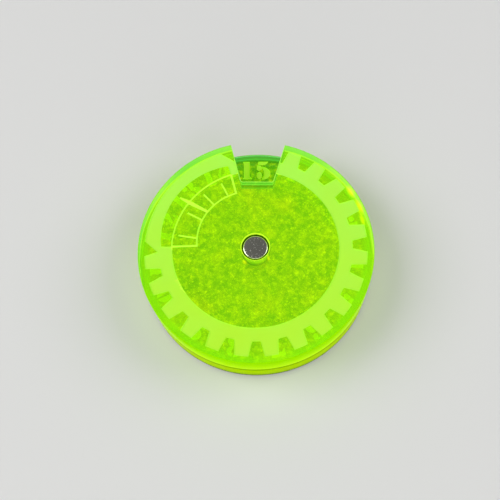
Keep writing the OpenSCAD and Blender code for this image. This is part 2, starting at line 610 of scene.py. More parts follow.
@dataclass(frozen=True)
class CutEdge(Finish):
    """The laser-cut edge of the sheet, where its light comes out: yellower from outside, greener through it.

    It glows warmer in places, and along one stretch of painted warm light where it has one. Seen through the
    sheet its colours are painted reflections, highlights and shade.
    """

    foot_z: float
    outside: EdgeLook
    inside: EdgeLook
    warm_stretch: Union[Glint, None] = None
    streaks: Pattern = Pattern(5.0, 0.35, 0.70, squeeze=(1.0, 1.0, 0.05))
    warm_places: Pattern = Pattern(0.11, 0.42, 0.66, squeeze=(1.0, 1.0, 0.2))
    streak_shift: float = 0.05
    polish: float = 0.08
    roughening: float = 0.08

    def shader(self, graph: Graph) -> Signal:
        """Colour and glow run over the sheet's thickness, and upright streaks left by the beam shift them.

        Args:
            graph: the material's nodes.

        Returns:
            The shader.
        """
        streak, warm = graph.noise(self.streaks), graph.noise(self.warm_places)
        # Painted light: the stretch adds a warm glow along part of the rim.
        if self.warm_stretch is not None:
            warm = graph.clamp(warm + self.warm_stretch.mask(graph))
        height = graph.span(graph.axis("Z"), self.foot_z, self.foot_z + SHEET_T)
        level = height + (streak - 0.5) * self.streak_shift
        roughness = self.polish + streak * self.roughening
        normal = graph.bump(streak, distance=0.01, strength=0.5)
        looks = [look.shader(graph, level, warm, roughness, normal) for look in (self.outside, self.inside)]
        # Through the sheet the inside look shows, and its colours are painted reflections, highlights and
        # shade.
        from_inside = graph.node("ShaderNodeNewGeometry", {}, {}, "Backfacing")
        return graph.node("ShaderNodeMixShader", {}, {0: from_inside, 1: looks[0], 2: looks[1]})


@dataclass(frozen=True)
class FrostedCut(Finish):
    """The matt floor of an engraving, which catches the sheet's light.

    The side towards the window, slow changes, grain and the beam's lines share in its colour by weight. The
    side is painted light: bluer towards the window and yellower away from it.
    """

    shade: RGB
    colour: RGB
    glow_shade: RGB
    glow: RGB
    side_y: tuple[float, float] = (-8.0, 8.0)
    changes: Pattern = Pattern(0.16, 0.35, 0.65)
    grain: Pattern = Pattern(9.0, 0.30, 0.70, detail=3.0)
    line_scale: float = 1.846154
    weights: tuple[float, float, float, float] = (0.6, 0.25, 0.1, 0.05)
    polish: float = 0.75
    roughening: float = 0.2

    def shader(self, graph: Graph) -> Signal:
        """Fine grain and the beam's close lines, on a slow change of colour, painted light, towards the
        window's side.

        Args:
            graph: the material's nodes.

        Returns:
            The shader.
        """
        grain = graph.noise(self.grain)
        wave = {"Vector": graph.place(), "Scale": self.line_scale, "Distortion": 0.4}
        lines = graph.node("ShaderNodeTexWave", {"bands_direction": "Y"}, wave, "Fac")
        # Painted light: along Y the colour turns bluer towards the window and yellower away from it.
        parts = (graph.span(graph.axis("Y"), *self.side_y), graph.noise(self.changes), grain, lines)
        share = graph.clamp(sum(part * weight for part, weight in zip(parts, self.weights)))
        return graph.node("ShaderNodeBsdfPrincipled", {}, {
            "Base Color": graph.blend(share, self.shade, self.colour),
            "Emission Color": graph.blend(share, self.glow_shade, self.glow),
            "Emission Strength": 1.0,
            "Roughness": self.polish + grain * self.roughening,
            "Specular IOR Level": 0.2,
            "Normal": graph.bump(grain * 0.6 + lines * 0.4, distance=0.015, strength=0.6),
        })


@dataclass(frozen=True)
class Nickel(Finish):
    """Nickel plating, with scratches in two directions and a few dull spots, each with its weight."""

    colour: RGB
    worn: RGB
    marks: tuple[tuple[Pattern, float], ...] = (
        (Pattern(2.2, 0.62, 0.74, squeeze=(0.35, 6.0, 1.0), turn=28.0), 0.4),
        (Pattern(1.8, 0.65, 0.77, squeeze=(6.0, 0.4, 1.0), turn=12.0), 0.35),
        (Pattern(5.0, 0.63, 0.70), 0.7),
    )
    polish: float = 0.21
    dulling: float = 0.3

    def shader(self, graph: Graph) -> Signal:
        """Scratches and spots brighten and roughen the plating.

        Args:
            graph: the material's nodes.

        Returns:
            The shader.
        """
        mark = graph.clamp(sum(graph.noise(pattern) * weight for pattern, weight in self.marks))
        return graph.node("ShaderNodeBsdfPrincipled", {}, {
            "Base Color": graph.blend(mark, self.colour, self.worn),
            "Metallic": 1.0,
            "Roughness": self.polish + mark * self.dulling,
            "Normal": graph.bump(mark, distance=0.006, strength=0.6),
        })


@dataclass(frozen=True)
class StudioPaper(Finish):
    """Plain matt paper that runs out into the backdrop's colour far from the dial."""

    colour: RGB
    backdrop: RGB
    fade_r: tuple[float, float] = (120.0, 500.0)

    def shader(self, graph: Graph) -> Signal:
        """Far away, the camera, gloss and clear sheet see the backdrop's colour, which lights nothing.

        Args:
            graph: the material's nodes.

        Returns:
            The shader.
        """
        paper = graph.node("ShaderNodeBsdfPrincipled", {}, {
            "Base Color": (*self.colour, 1.0),
            "Roughness": 0.9,
            "Specular IOR Level": 0.1,
        })
        backdrop = graph.node("ShaderNodeEmission", {}, {"Color": (*self.backdrop, 1.0)})
        seen = graph.clamp(graph.ray("Camera") + graph.ray("Glossy") + graph.ray("Transmission"))
        share = graph.span(graph.radius(), *self.fade_r) * seen
        return graph.node("ShaderNodeMixShader", {}, {0: share, 1: paper, 2: backdrop})


# Engraving

@dataclass
class GaugeEngraving:
    """The gear ring with the gauge in its housing, cut into the window disc's top face."""

    rim_r: float = 14.0
    rim_margin: float = 0.8
    tooth_l: float = 1.75
    band_w: float = 1.6
    tooth_places: int = 24
    gap_root_w: float = 0.95
    gap_tip_w: float = 1.85
    ring_turn: float = 1.9
    housing_turn: float = 54.2
    housing_tip_half: float = 33.5
    housing_foot_half: float = 39.7
    housing_wedge: float = 8.2
    housing_gap: float = 2.05
    housing_foot_h: float = 0.2
    scale_turn: float = 0.5
    scale_half: float = 35.9
    scale_foot_half: float = 34.8
    scale_h: float = 2.6
    line_shift: float = 1.0
    line_shift_turn: float = -19.5
    arc_line_w: float = 0.18
    end_line_w: float = 0.24
    arch_rise: float = 1.7
    arch_shift: float = 2.3
    tick_w: float = 0.2
    tick_gap: float = 0.55
    tick_angles: tuple[float, ...] = (-26.8, -11.0, 8.0, 27.0)
    needle_out_l: float = 1.4
    needle_turn: float = 0.5
    needle_lean: float = 7.0
    needle_widths: tuple[float, float, float] = (0.32, 0.5, 0.18)
    overrun: float = 1.3
    ring_points: int = 360
    arch_points: int = 240
    line_points: int = 71

    def __post_init__(self) -> None:
        """Works out the radii from the rim inwards, and then every outline."""
        self.tip_r = self.rim_r - self.rim_margin
        self.root_r = self.tip_r - self.tooth_l
        self.inner_r = self.root_r - self.band_w
        scale_r = self.inner_r - self.scale_h
        self.housing_a = 90.0 + self.housing_turn
        self.scale_a = self.housing_a + self.scale_turn
        self.line_a = self.scale_a + self.line_shift_turn
        line_centre = polar(self.line_shift, self.line_a)
        self.line_r = float(np.linalg.norm(polar(scale_r, self.scale_a) - line_centre))
        outer_line = self.inner_r + self.arc_line_w
        arch_r = outer_line + self.arch_rise - self.arch_shift
        arch_centre = polar(self.arch_shift, self.scale_a)
        span = (self.scale_a - self.scale_half, self.scale_a + self.scale_half)
        self.ring = [circle(radius, self.ring_points) for radius in (self.tip_r, self.inner_r)]
        self.gaps = self.tooth_gaps() + [self.housing_end(side) for side in (-1, 1)]
        self.arch = [circle(arch_r, self.arch_points, arch_centre), sector(outer_line, self.tip_r, *span)]
        self.scale = [self.inner_line(), self.needle()]
        for side in (-1, 1):
            foot_a = self.scale_a + side * self.scale_foot_half
            end = polar(outer_line, self.scale_a + side * self.scale_half)
            self.scale.append(bar(polar(self.line_at(foot_a), foot_a), end, self.end_line_w))
        for turn in self.tick_angles:
            tick_a = self.scale_a + turn
            foot = polar(self.line_at(tick_a) + self.arc_line_w / 2, tick_a)
            self.scale.append(bar(foot, polar(self.inner_r - self.tick_gap, tick_a), self.tick_w))

    def line_at(self, angle: Union[float, np.ndarray], wider: float = 0.0) -> Union[float, np.ndarray]:
        """How far the scale's inner line lies from the axis: where a ray from there meets the line's circle.

        Args:
            angle: direction of the ray, in degrees.
            wider: how much larger than the line's inner edge the circle is.

        Returns:
            The distance, for each direction.
        """
        turn = np.radians(angle - self.line_a)
        across = self.line_shift * np.sin(turn)
        return self.line_shift * np.cos(turn) + np.sqrt((self.line_r + wider) ** 2 - across ** 2)

    def inner_line(self) -> np.ndarray:
        """The scale's inner curved line: its outer edge from end to end, then its inner edge back."""
        half = self.scale_foot_half
        angles = np.linspace(self.scale_a - half, self.scale_a + half, self.line_points)
        outer = polar(self.line_at(angles, self.arc_line_w), angles)
        return np.concatenate([outer, polar(self.line_at(angles), angles)[::-1]])

    def tooth_gaps(self) -> list[np.ndarray]:
        """The clear gaps between the teeth, in even steps all round except under the housing.

        Each is narrow at the root and runs out past the tips.
        """
        root = np.array([self.root_r, self.gap_root_w / 2])
        end = root + self.overrun * (np.array([self.tip_r, self.gap_tip_w / 2]) - root)
        outline = np.array([[root[0], -root[1]], [end[0], -end[1]], end, root])
        angles = 90.0 + self.ring_turn + np.arange(self.tooth_places) * 360.0 / self.tooth_places
        away = np.abs((angles - self.housing_a + 180.0) % 360.0 - 180.0)
        return [turned(outline, angle) for angle in angles[away > self.housing_foot_half + self.housing_gap]]

    def housing_end(self, side: int) -> np.ndarray:
        """The clear wedge at one end of the housing.

        Args:
            side: -1 for the end next to the window, 1 for the other.

        Returns:
            Its outline.
        """
        foot = polar(self.root_r + self.housing_foot_h, self.housing_a + side * self.housing_foot_half)
        turns = np.array([self.housing_tip_half, self.housing_tip_half + self.housing_wedge])
        tips = polar(self.tip_r, self.housing_a + side * turns)
        return np.concatenate([[foot], foot + self.overrun * (tips - foot)])

    def needle(self) -> np.ndarray:
        """The needle: narrow at its foot, widest at the scale's outer line and pointed outside it."""
        foot_w, mid_w, tip_w = (width / 2 for width in self.needle_widths)
        foot_x = -(self.scale_h - self.arc_line_w / 2) / np.cos(np.radians(self.needle_lean))
        x = np.array([foot_x, 0.0, self.needle_out_l, self.needle_out_l, 0.0, foot_x])
        y = np.array([-foot_w, -mid_w, -tip_w, tip_w, mid_w, foot_w])
        direction = self.scale_a + self.needle_turn
        return polar(self.inner_r, direction) + turned(np.stack([x, y], axis=1), direction + self.needle_lean)

    def outlines(self) -> list[np.ndarray]:
        """Every outline that bounds the engraving."""
        return self.ring + self.gaps + self.arch + self.scale

    def finish_at(self, points: np.ndarray) -> np.ndarray:
        """The finish at points: frosted in the ring except in its gaps and the arch, a line on the gauge.

        Args:
            points: points in the plane.

        Returns:
            One finish for each point, clear where nothing is engraved.
        """
        ring = inside(self.ring[0], points) & ~inside(self.ring[1], points)
        for gap in self.gaps:
            ring &= ~inside(gap, points)
        ring &= ~(inside(self.arch[0], points) & inside(self.arch[1], points))
        on_line = ring & (np.linalg.norm(points, axis=1) < self.inner_r + self.arc_line_w)
        on_line &= inside(self.arch[0], points)
        on_line |= np.any([inside(part, points) for part in self.scale], axis=0)
        return np.select([on_line, ring], [Face.LINE, Face.FROSTED], Face.CLEAR)


Figure = tuple[float, list[Union[np.ndarray, list[tuple[float, float]]]]]


@dataclass
class StencilNumbers:
    """Plain numbers in heavy stencil figures with slab feet, cut round the number disc's top face."""

    last: int = 15
    turn: float = 1.1
    baseline_r: float = 10.48
    height: float = 2.46
    figure_gap: float = 0.235
    thick: float = 0.30
    thin: float = 0.085
    break_w: float = 0.075
    bowl_points: tuple[int, int] = (25, 17)
    ball_points: int = 24
    numbers: list[np.ndarray] = field(default_factory=list)

    def __post_init__(self) -> None:
        """Sets every number round the disc, its foot towards the axis and the last one in the window."""
        figures = self.figures()
        for number in range(1, self.last + 1):
            direction = self.turn + (self.last - number) * 360.0 / self.last
            for outline in self.word([figures[figure] for figure in str(number)]):
                placed = outline * self.height + np.array([0.0, self.baseline_r])
                self.numbers.append(turned(placed, direction))

    def word(self, figures: Sequence[Figure]) -> list[np.ndarray]:
        """Figures side by side, centred on x = 0, standing on y = 0, one unit high.

        Args:
            figures: the width and outlines of each figure.

        Returns:
            Their outlines.
        """
        drawn, edge = [], 0.0
        for width, outlines in figures:
            drawn += [np.asarray(outline) + np.array([edge, 0.0]) for outline in outlines]
            edge += width + self.figure_gap
        return [outline - np.array([(edge - self.figure_gap) / 2, 0.0]) for outline in drawn]

    def bowl(
        self, x: float, y: float, wide: float, high: float, side: int = 1, thick: float = 0.0
    ) -> np.ndarray:
        """One half of a bowl: the space between two half ellipses, thick at the side and thin at its ends.

        Args:
            x: its centre, across.
            y: its centre, up.
            wide: its outer half width.
            high: its outer half height.
            side: 1 for the right half, -1 for the left.
            thick: its thickness at the side, or 0 for the usual one.

        Returns:
            Its outline, which stays clear of the middle by half a break.
        """
        inner_wide, inner_high = wide - (thick or self.thick), high - self.thin
        start = np.degrees(np.arccos(self.break_w / 2 / wide))
        inner_start = np.degrees(np.arccos(self.break_w / 2 / inner_wide))
        out, back = self.bowl_points
        outer = polar(1.0, np.linspace(-start, start, out)) * np.array([wide, high])
        inner = polar(1.0, np.linspace(inner_start, -inner_start, back)) * np.array([inner_wide, inner_high])
        return np.array([x, y]) + np.concatenate([outer, inner]) * np.array([side, 1.0])

    def ball(self, x: float, y: float, wide: float, high: float = 0.0) -> np.ndarray:
        """The ball at a bowl's end: a circle, or an ellipse where its half height isn't its half width."""
        return np.array([x, y]) + circle(1.0, self.ball_points) * np.array([wide, high or wide])

    @staticmethod
    def block(left: float, low: float, right: float, high: float) -> np.ndarray:
        """An upright rectangle by its edges."""
        return np.array([[left, low], [right, low], [right, high], [left, high]])

    def figures(self) -> dict[str, Figure]:
        """The width and outlines of each figure, one unit high. A nine is a six turned half round."""
        bowl, ball, block = self.bowl, self.ball, self.block
        six = [bowl(0.36, 0.5, 0.36, 0.51, -1), bowl(0.36, 0.3, 0.36, 0.31), ball(0.55, 0.8, 0.13),
               block(0.4, 0.92, 0.52, 0.99)]
        return {
            "0": (0.74, [bowl(0.37, 0.5, 0.37, 0.51, side) for side in (-1, 1)]),
            "1": (0.475, [
                block(0.055, 0.0, 0.055 + self.thick, 1.0),
                [(0.0, 0.93), (0.06, 0.89), (0.06, 1.0), (0.0, 1.0)],
                [(0.01, 0.0), (0.06, 0.0), (0.06, 0.1), (0.01, 0.06)],
                [(0.35, 0.0), (0.475, 0.0), (0.475, 0.06), (0.40, 0.10), (0.35, 0.2)],
            ]),
            "2": (0.72, [
                ball(0.16, 0.74, 0.14), bowl(0.33, 0.7, 0.37, 0.31),
                [(0.05, 0.24), (0.33, 0.24), (0.66, 0.55), (0.42, 0.5)],
                [(0.0, 0.0), (0.7, 0.0), (0.72, 0.32), (0.64, 0.32), (0.58, 0.2), (0.0, 0.2)],
            ]),
            "3": (0.71, [
                bowl(0.31, 0.745, 0.35, 0.265), bowl(0.31, 0.27, 0.4, 0.28),
                ball(0.15, 0.78, 0.13), ball(0.15, 0.22, 0.15),
            ]),
            "4": (0.80, [
                [(0.0, 0.36), (0.12, 0.36), (0.36, 0.8), (0.36, 1.0), (0.0, 0.42)],
                block(0.40, 0.0, 0.40 + self.thick, 1.0), block(0.0, 0.24, 0.36, 0.36),
                block(0.68, 0.24, 0.80, 0.36), block(0.30, 0.0, 0.78, 0.08),
            ]),
            "5": (0.706, [
                [(0.06, 0.83), (0.30, 0.80), (0.44, 0.82), (0.55, 0.90), (0.60, 1.0), (0.10, 1.0)],
                [(0.0, 0.55), (0.10, 0.47), (0.25, 0.52), (0.28, 0.66), (0.20, 0.78), (0.03, 0.79)],
                bowl(0.25, 0.32, 0.456, 0.375, thick=0.33), ball(0.14, 0.2, 0.14, 0.2),
            ]),
            "6": (0.72, six),
            "7": (0.68, [
                [(0.0, 0.66), (0.07, 0.66), (0.14, 0.8), (0.68, 0.8), (0.68, 1.0), (0.0, 1.0)],
                [(0.18, 0.0), (0.46, 0.0), (0.50, 0.3), (0.68, 0.72), (0.38, 0.72), (0.22, 0.35)],
            ]),
            "8": (0.72, [
                *(bowl(0.36, 0.76, 0.32, 0.25, side, 0.23) for side in (-1, 1)),
                *(bowl(0.36, 0.27, 0.37, 0.28, side) for side in (-1, 1)),
            ]),
            "9": (0.72, [np.array([0.72, 1.0]) - outline for outline in six]),
        }

    def outlines(self) -> list[np.ndarray]:
        """Every outline of every number."""
        return self.numbers

    def finish_at(self, points: np.ndarray) -> np.ndarray:
        """The finish at points: frosted in a number, clear where nothing is engraved."""
        cut = np.any([inside(part, points) for part in self.numbers], axis=0)
        return np.where(cut, Face.FROSTED, Face.CLEAR)


# The dial

@dataclass
class Notch:
    """The window notch: straight inner wall, two leaning side walls and a small radius in each corner."""

    depth: float = 5.45
    inner_w: float = 3.9
    lean: float = 15.5
    corner_r: float = 0.2
    corner_points: int = 9
    wall_points: int = 14

    def path(self, rim_r: float) -> np.ndarray:
        """From the rim down one side, across and up the other, with the disc on the left.

        The side walls meet the rim where x squared plus y squared is the rim's radius squared.

        Args:
            rim_r: the disc's radius.

        Returns:
            The points from the right-hand corner on the rim to the left-hand one.
        """
        slope = np.tan(np.radians(self.lean))
        inner_y = rim_r - self.depth
        foot = self.inner_w / 2 - slope * inner_y
        a, b, c = 1 + slope ** 2, foot * slope, foot ** 2 - rim_r ** 2
        rim_y = (-b + np.sqrt(b ** 2 - a * c)) / a
        corner_x = self.inner_w / 2 - self.corner_r / np.tan(np.radians((90 + self.lean) / 2))
        centre = np.array([corner_x, inner_y + self.corner_r])
        arc = centre + polar(self.corner_r, np.linspace(-self.lean, -90.0, self.corner_points))
        wall = np.linspace([foot + slope * rim_y, rim_y], arc[0], self.wall_points)[:-1]
        right = np.concatenate([wall, arc])
        return np.concatenate([right, right[::-1] * np.array([-1.0, 1.0])])


@dataclass
class Sheet:
    """One disc of sheet with a magnet's hole, rounded cut edges and an engraving in its top face.

    Its rim stays a trace inside the solid's, so that the dressed disc never stands out of it.
    """

    name: str
    body: str
    slot: str
    bottom: float
    finishes: tuple[Finish, ...]
    engraving: Union[GaugeEngraving, StencilNumbers]
    notch: Union[Notch, None] = None
    rim_r: float = 13.995
    thickness: float = SHEET_T
    hole_r: float = 1.65
    edge_r: float = 0.1
    engraving_depth: float = 0.1
    rim_step: float = 0.75
    rim_slack: float = 0.01
    hole_points: int = 120
    arc_points: int = 6
    wall_rows: int = 3

    def outline(self) -> np.ndarray:
        """The disc's outline, counter-clockwise: the rim between the notch's corners, then the notch."""
        if self.notch is None:
            return circle(self.rim_r, int(360 / self.rim_step))
        notch = self.notch.path(self.rim_r)
        corner_a = float(np.degrees(np.arctan2(notch[0, 1], notch[0, 0])))
        count = int((180.0 + 2 * corner_a) / self.rim_step)
        rim = polar(self.rim_r, np.linspace(180.0 - corner_a, 360.0 + corner_a, count)[:-1])
        return np.concatenate([rim, notch[:-1]])

    @staticmethod
    def wall(outline: np.ndarray, profile: np.ndarray) -> np.ndarray:
        """A profile carried along an outline: each point moves in by the inset, at the profile's height.

        Args:
            outline: a closed outline with the material on its left.
            profile: rows of inset and height.

        Returns:
            Points, outline by profile by three.
        """
        plan = outline[:, None, :] + inset_directions(outline)[:, None, :] * profile[None, :, :1]
        return with_heights(plan, profile)

    def build(self) -> bpy.types.Object:
        """Makes the disc: outer wall, hole's wall, bottom, and top with the engraving in it."""
        skin = Skin(self.name)
        profile = wall_profile(self.thickness, self.edge_r, self.arc_points, self.wall_rows)
        profile += np.array([0.0, self.bottom])
        outer = self.wall(self.outline(), profile)
        hole = self.wall(circle(self.hole_r, self.hole_points)[::-1], profile)
        skin.add_grid(outer, self.wall_finish(outer))
        skin.add_grid(hole, Face.BORE)
        rim, bore = outer[:, -1, :2], hole[:, -1, :2]
        points, triangles, _ = self.face([rim, bore])
        skin.add_flat(points, triangles, self.bottom, Face.CLEAR, up=False)
        points, triangles, middle = self.face([rim, bore, *self.engraving.outlines()])
        finish = self.engraving.finish_at(middle)
        engraved = finish != Face.CLEAR
        top = self.bottom + self.thickness
        floor = top - self.engraving_depth
        skin.add_flat(points, triangles[~engraved], top, Face.CLEAR, up=True)
        skin.add_flat(points, triangles[engraved], floor, finish[engraved], up=True)
        self.add_engraving_walls(skin, points, triangles[engraved], top, floor)
        made = skin.build([look.material() for look in self.finishes])
        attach(made, self.body)
        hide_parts(self.name.removesuffix("_sheet"))
        return made

    @staticmethod
    def face(outlines: Sequence[np.ndarray]) -> tuple[np.ndarray, np.ndarray, np.ndarray]:
        """The triangles of a flat face, which lie in its first outline and outside its second.

        Args:
            outlines: the rim, the bore and any others that the triangles keep to.

        Returns:
            The points, the triangles and the triangles' middles.
        """
        points, triangles = triangles_through(outlines)
        middle = points[triangles].mean(axis=1)
        solid = inside(outlines[0], middle) & ~inside(outlines[1], middle)
        return points, triangles[solid], middle[solid]

    def wall_finish(self, outer: np.ndarray) -> np.ndarray:
        """Cut finish on the rim, and on the notch its own, with a frosted top edge where the beam went in.

        Args:
            outer: the outer wall's points.

        Returns:
            The finish of each face of the wall.
        """
        rows, columns = outer.shape[:2]
        finish = np.full((rows, columns - 1), int(Face.CUT))
        if self.notch is not None:
            upright = outer[:, columns // 2, :2]
            middle = (upright + np.roll(upright, -1, axis=0)) / 2
            on_notch = np.linalg.norm(middle, axis=1) < self.rim_r - self.rim_slack
            finish[on_notch] = int(Face.NOTCH)
            finish[on_notch, 1 - self.arc_points:] = int(Face.FROSTED)
        return finish.ravel()

    @staticmethod
    def add_engraving_walls(
        skin: Skin, points: np.ndarray, triangles: np.ndarray, top: float, floor: float
    ) -> None:
        """Adds an upright wall along every side that only one engraved triangle has.

        Args:
            skin: the skin to add to.
            points: points in the plane.
            triangles: the engraved triangles.
            top: height of the sheet's face.
            floor: height of the engraving's floor.
        """
        sides = np.concatenate([triangles[:, [0, 1]], triangles[:, [1, 2]], triangles[:, [2, 0]]])
        keys = np.sort(sides, axis=1) @ np.array([len(points), 1])
        _, place, uses = np.unique(keys, return_index=True, return_counts=True)
        edge = sides[place[uses == 1]]
        ends = points[edge]
        levels = np.array([top, top, floor, floor])
        plan = np.stack([ends[:, 0], ends[:, 1], ends[:, 1], ends[:, 0]], axis=1)
        corners = np.concatenate([plan, np.broadcast_to(levels[None, :, None], (len(edge), 4, 1))], axis=2)
        skin.add(corners.reshape(-1, 3), np.arange(len(edge) * 4).reshape(-1, 4), Face.LINE, False)


@dataclass
class Magnet:
    """A nickel-plated disc magnet with softly rounded edges."""

    name: str
    body: str
    bottom: float
    finish: Finish
    radius: float = 1.5
    height: float = MAGNET_H
    edge_r: float = 0.17
    turns: int = 96
    arc_points: int = 7

    def build(self) -> bpy.types.Object:
        """Makes the magnet: a profile turned about the axis, and a flat face at each end."""
        profile = wall_profile(self.height, self.edge_r, self.arc_points, 0) + np.array([0.0, self.bottom])
        angles = np.linspace(0.0, 360.0, self.turns, endpoint=False)
        grid = with_heights(polar(self.radius - profile[None, :, 0], angles[:, None]), profile)
        skin = Skin(self.name)
        skin.add_grid(grid, 0)
        rim = np.arange(self.turns)
        fan = np.stack([np.zeros(self.turns, int), rim + 1, (rim + 1) % self.turns + 1], axis=1)
        for column, up in ((0, False), (-1, True)):
            disc = np.concatenate([np.zeros((1, 2)), grid[:, column, :2]])
            skin.add_flat(disc, fan, profile[column, 1], 0, up)
        made = skin.build([self.finish.material()])
        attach(made, self.body)
        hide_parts(self.name.removesuffix("_plated"))
        return made


# Studio

@dataclass
class Studio:
    """Camera, plain floor and soft lamps."""

    focal_px: float = 744.0
    elevation: float = 69.111
    azimuth: float = 7.788
    roll: float = -6.761
    distance: float = 87.855
    axis_px: tuple[float, float] = (255.331, 246.625)
    picture_px: float = 500.0
    sensor: float = 36.0
    clip: tuple[float, float] = (0.005, 20.0)
    backdrop: RGB = (0.86, 0.86, 0.85)
    floor_colour: RGB = (0.78, 0.78, 0.77)
    floor_half: float = 1500.0
    floor_z: float = -0.03
    side_light: RGB = (0.6, 0.6, 0.6)
    top_light: RGB = (0.1, 0.1, 0.1)
    dim_z: tuple[float, float] = (0.25, 0.85)

    def add_camera(self) -> None:
        """Puts the camera where the photograph was taken, looking at the axis's top end from its distance."""
        turn, rise, roll = (np.radians(angle) for angle in (self.azimuth, self.elevation, self.roll))
        c, s = np.cos(roll), np.sin(roll)
        right = np.array([np.cos(turn), np.sin(turn), 0.0])
        level = np.array([-np.sin(turn), np.cos(turn), 0.0])
        ahead = level * np.cos(rise) + np.array([0.0, 0.0, -np.sin(rise)])
        up = level * np.sin(rise) + np.array([0.0, 0.0, np.cos(rise)])
        across, down = (np.array(self.axis_px) - self.picture_px / 2) / self.focal_px
        off_axis = right * (c * across + s * down) - up * (c * down - s * across)
        place = np.array([0.0, 0.0, TOP_Z]) - (off_axis + ahead) * self.distance
        axes = np.array([c * right + s * up, c * up - s * right, -ahead])
        data = bpy.data.cameras.new("camera")
        data.sensor_width = self.sensor
        data.lens = self.focal_px / self.picture_px * self.sensor
        data.clip_start, data.clip_end = self.clip
        camera = bpy.data.objects.new("camera", data)
        matrix = np.eye(4)
        matrix[:3, :3] = axes.T
        matrix[:3, 3] = place * METRES_PER_MM
        camera.matrix_world = Matrix(matrix.tolist())
        bpy.context.scene.collection.objects.link(camera)
        bpy.context.scene.camera = camera

    def add_floor(self) -> None:
        """Adds a large plain floor just under the dial."""
        skin = Skin("floor")
        corners = np.array([[-1.0, -1.0], [1.0, -1.0], [1.0, 1.0], [-1.0, 1.0]]) * self.floor_half
        skin.add_flat(corners, np.array([[0, 1, 2, 3]]), self.floor_z, 0, up=True)
        skin.build([StudioPaper("floor_paper", self.floor_colour, self.backdrop).material()])

    def add_lamp(self, name: str, place: Sequence[float], size: float, watts: float) -> None:
        """Adds a square soft lamp that points at the dial.

        Args:
            name: its name.
            place: its place, in millimetres.
            size: its side, in millimetres.
            watts: its power.
        """
        data = bpy.data.lights.new(name, "AREA")
        data.size, data.energy = size * METRES_PER_MM, watts
        lamp = bpy.data.objects.new(name, data)
        lamp.location = Vector(place) * METRES_PER_MM
        lamp.rotation_euler = (-lamp.location).to_track_quat("-Z", "Y").to_euler()
        bpy.context.scene.collection.objects.link(lamp)

    def add_world(self) -> None:
        """Soft light from all round, darker overhead. Camera, gloss and clear sheet see the backdrop."""
        world = bpy.data.worlds.new("studio")
        bpy.context.scene.world = world
        world.use_nodes = True
        graph = Graph(world.node_tree)
        way = graph.node("ShaderNodeTexCoord", {}, {}, "Generated")
        height = graph.node("ShaderNodeSeparateXYZ", {}, {0: way}, "Z")
        mirrored = graph.clamp(graph.ray("Glossy") + graph.ray("Transmission"))
        side = graph.blend(mirrored, self.side_light, self.backdrop)
        light = graph.blend(graph.span(height, *self.dim_z), side, self.top_light)
        colour = graph.blend(graph.ray("Camera"), light, self.backdrop)
        background = graph.node("ShaderNodeBackground", {}, {"Color": colour, "Strength": 1.0})
        graph.node("ShaderNodeOutputWorld", {}, {"Surface": background})

    def build(self) -> None:
        """Sets the whole studio up."""
        self.add_camera()
        self.add_floor()
        self.add_world()
        self.add_lamp("key", (-340.0, 10.0, 330.0), size=330.0, watts=1.15)
        self.add_lamp("fill", (320.0, 60.0, 260.0), size=260.0, watts=0.6)
        self.add_lamp("front", (40.0, -380.0, 190.0), size=400.0, watts=0.65)
        bpy.context.scene.view_settings.view_transform = "Standard"


# The finishes of this dial

# Painted highlights: glints on the face by the rim and round the hole.
EDGE_GLINTS = (
    Glint(13.45, 32.5, 115.8, 1.0, 0.5),
    Glint(13.35, 22.8, 110.7, 1.2, 0.55),
    Glint(13.15, 15.8, 107.0, 1.0, 0.32),
    Glint(2.3, -122.3, 130.0, 0.46, 0.28),
    Glint(2.12, -42.0, 100.0, 0.42, 0.22),
)
# Painted light on the window disc's face: mottles of light through it, a glow by the rim and glints.
UPPER_CLEAR = ClearSheet(
    "upper_clear", tint=(0.66, 0.79, 0.01), glow=(0.032, 0.11, 0.0),
    cloud_tint=(0.96, 0.97, 0.01), cloud_glow=(0.14, 0.21, 0.0), clearness=0.9, warmth=(0.07, 0.03, 0.0),
    still_r=(10.6, 12.4), still_light=0.3, wall_glow=(0.0, 0.06, 0.0),
    glints=EDGE_GLINTS, glint_glow=(0.42, 0.33, 0.0),
)
# Painted light and shade on the number disc's face: bright and dark mottles of light seen through it.
LOWER_CLEAR = ClearSheet(
    "lower_clear", tint=(0.40, 0.745, 0.01), glow=(0.015, 0.066, 0.0),
    cloud_tint=(0.92, 0.98, 0.01), cloud_glow=(0.16, 0.20, 0.0), clearness=0.85,
    clouds=Pattern(1 / 0.65, 0.49, 0.66), cloud_share=0.8,
)
UPPER_RIM = EdgeLook(
    colours=((0.51, 0.77, 0.01), (0.38, 0.73, 0.0), (0.28, 0.65, 0.0)),
    glows=((0.12, 0.30, 0.0), (0.09, 0.26, 0.0), (0.06, 0.22, 0.0)),
    shine=0.0003, warmth=(0.02, 0.0, 0.0),
)
UPPER_CUT = CutEdge(
    "upper_cut", foot_z=UPPER_Z, outside=UPPER_RIM,
    # Painted light: a warm stretch of glow on the rim's wall.
    warm_stretch=Glint(14.0, 32.0, 122.0, 8.5, 5.0, height=4.9),
    # Painted reflection and highlight: seen through the face, a bright band low down and a teal to blue glow
    # towards the top.
    inside=EdgeLook(
        colours=((0.08, 0.26, 0.02), (0.12, 0.30, 0.06), (0.05, 0.20, 0.10), (0.05, 0.20, 0.12),
                 (0.04, 0.18, 0.16)),
        glows=((0.04, 0.24, 0.02), (0.22, 0.48, 0.20), (0.05, 0.33, 0.36), (0.06, 0.35, 0.46),
               (0.04, 0.32, 0.66)),
        clearness=0.1, strength=1.5, shine=0.0, places=(0.06, 0.2, 0.35, 0.72, 0.9),
        warmth=(0.14, 0.12, 0.04),
    ),
)
